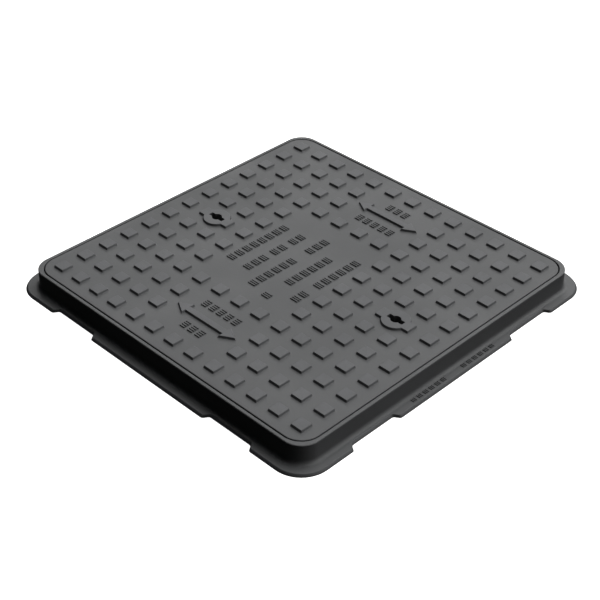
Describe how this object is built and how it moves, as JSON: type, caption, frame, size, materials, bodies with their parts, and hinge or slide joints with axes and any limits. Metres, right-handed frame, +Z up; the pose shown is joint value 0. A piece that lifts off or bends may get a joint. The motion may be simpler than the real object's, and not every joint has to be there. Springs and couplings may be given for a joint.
{
  "type": "manhole cover and frame",
  "caption": "Square ductile-iron access cover with raised square studs and two keyways, in a shallow flanged frame with a sealed channel.",
  "frame": {"origin": "centre of the underside of the frame's flange, on the bedding plane", "axes": "+Z up out of the ground, +X along the line through both keyways, which is the way the cover slides off, +Y square to it"},
  "size_m": [0.704, 0.704, 0.044],
  "materials": {
    "frame_iron": "satin black bitumen-coated ductile iron casting",
    "cover_iron": "satin black bitumen-coated ductile iron casting",
    "seal_rubber": "matt black EPDM",
    "pad_polyurethane": "cast polyurethane, amber",
    "cup_plastic": "moulded black polypropylene",
    "screw_steel": "stainless steel"
  },
  "bodies": {
    "root": {"frame_casting": "frame_iron", "seal_strip_front": "seal_rubber", "seal_strip_back": "seal_rubber", "seal_strip_left": "seal_rubber", "seal_strip_right": "seal_rubber", "corner_pad_front_left": "pad_polyurethane", "corner_pad_front_right": "pad_polyurethane", "corner_pad_back_left": "pad_polyurethane", "corner_pad_back_right": "pad_polyurethane"},
    "cover": {"cover_casting": "cover_iron", "keyway_cup_left": "cup_plastic", "keyway_cup_right": "cup_plastic", "cup_screws_left": "screw_steel", "cup_screws_right": "screw_steel"}
  },
  "joints": [
    {"name": "cover_lift", "type": "slide", "parent": "root", "child": "cover", "axis": [0, 0, 1], "range_m": [0, 0.12]}
  ]
}
